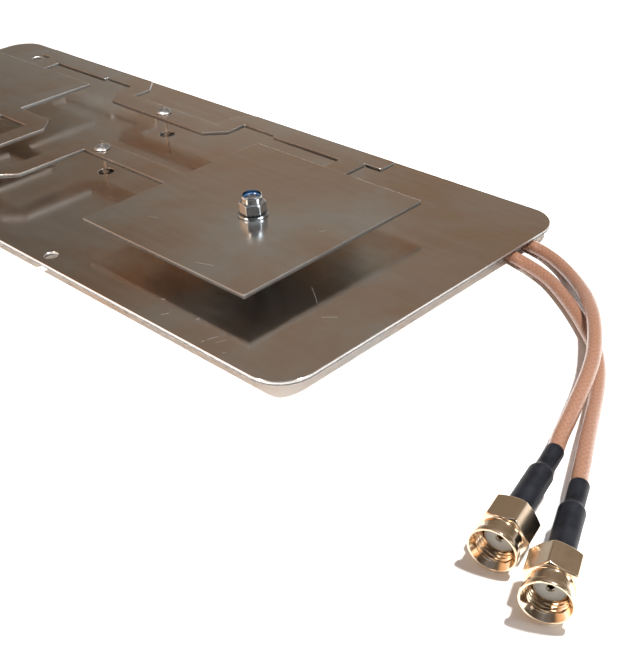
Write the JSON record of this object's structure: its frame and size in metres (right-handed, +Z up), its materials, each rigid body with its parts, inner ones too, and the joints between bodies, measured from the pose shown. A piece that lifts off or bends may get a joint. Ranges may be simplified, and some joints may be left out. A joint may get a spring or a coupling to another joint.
{
  "type": "open dual-port panel antenna",
  "caption": "Open flat panel antenna: a ground plate, a raised metal sheet of square patches and strip feeds, and thin coaxial leads ending in gold reverse-polarity SMA plugs.",
  "frame": {"origin": "under the middle of the ground plate, on the surface that the antenna lies on", "axes": "+X along the plate towards the end where the leads come out, +Y across the plate, +Z up, the way the patches face"},
  "size_m": [0.2894, 0.1034, 0.0156],
  "materials": {
    "plate_metal": "satin",
    "sheet_metal": "satin",
    "zinc_steel": "zinc plated steel, bright",
    "spacer_metal": "turned",
    "nylon_blue": "nylon",
    "solder": "solder, bright",
    "tinned_braid": "tinned copper braid soaked with solder",
    "tinned_wire": "tinned copper wire",
    "ptfe": "PTFE",
    "cable_jacket": "clear brown FEP jacket over braid",
    "glue": "hot-melt glue",
    "heat_shrink": "heat-shrink sleeve",
    "gold_plate": "gold plated brass",
    "bronze": "spring bronze"
  },
  "bodies": {
    "antenna": {"ground_plate": "plate_metal", "radiator_sheet": "sheet_metal", "glue_bead": "glue", "patch_screw_left": "zinc_steel", "spacer_left": "spacer_metal", "washer_left": "zinc_steel", "lock_nut_left": "zinc_steel", "nylon_ring_left": "nylon_blue", "patch_screw_right": "zinc_steel", "spacer_right": "spacer_metal", "washer_right": "zinc_steel", "lock_nut_right": "zinc_steel", "nylon_ring_right": "nylon_blue", "feed_wire_a": "tinned_wire", "feed_insulator_a": "ptfe", "feed_solder_a": "solder", "braid_end_a": "tinned_braid", "ground_solder_a": "solder", "cable_run_a": "cable_jacket", "cable_a": "cable_jacket", "heat_shrink_a": "heat_shrink", "crimp_ferrule_a": "gold_plate", "connector_body_a": "gold_plate", "retaining_ring_a": "bronze", "dielectric_a": "ptfe", "centre_contact_a": "gold_plate", "feed_wire_b": "tinned_wire", "feed_insulator_b": "ptfe", "feed_solder_b": "solder", "braid_end_b": "tinned_braid", "ground_solder_b": "solder", "cable_run_b": "cable_jacket", "cable_b": "cable_jacket", "heat_shrink_b": "heat_shrink", "crimp_ferrule_b": "gold_plate", "connector_body_b": "gold_plate", "retaining_ring_b": "bronze", "dielectric_b": "ptfe", "centre_contact_b": "gold_plate"},
    "nut_a": {"coupling_nut_a": "gold_plate"},
    "nut_b": {"coupling_nut_b": "gold_plate"}
  },
  "joints": [
    {"name": "coupling_nut_a_turn", "type": "hinge", "parent": "antenna", "child": "nut_a", "pos_m": [0.1757, -0.0568, 0.00462], "axis": [0.3987, -0.9171, 0], "continuous": true},
    {"name": "coupling_nut_b_turn", "type": "hinge", "parent": "antenna", "child": "nut_b", "pos_m": [0.1634, -0.053, 0.00417], "axis": [0.2436, -0.9699, 0], "continuous": true}
  ]
}
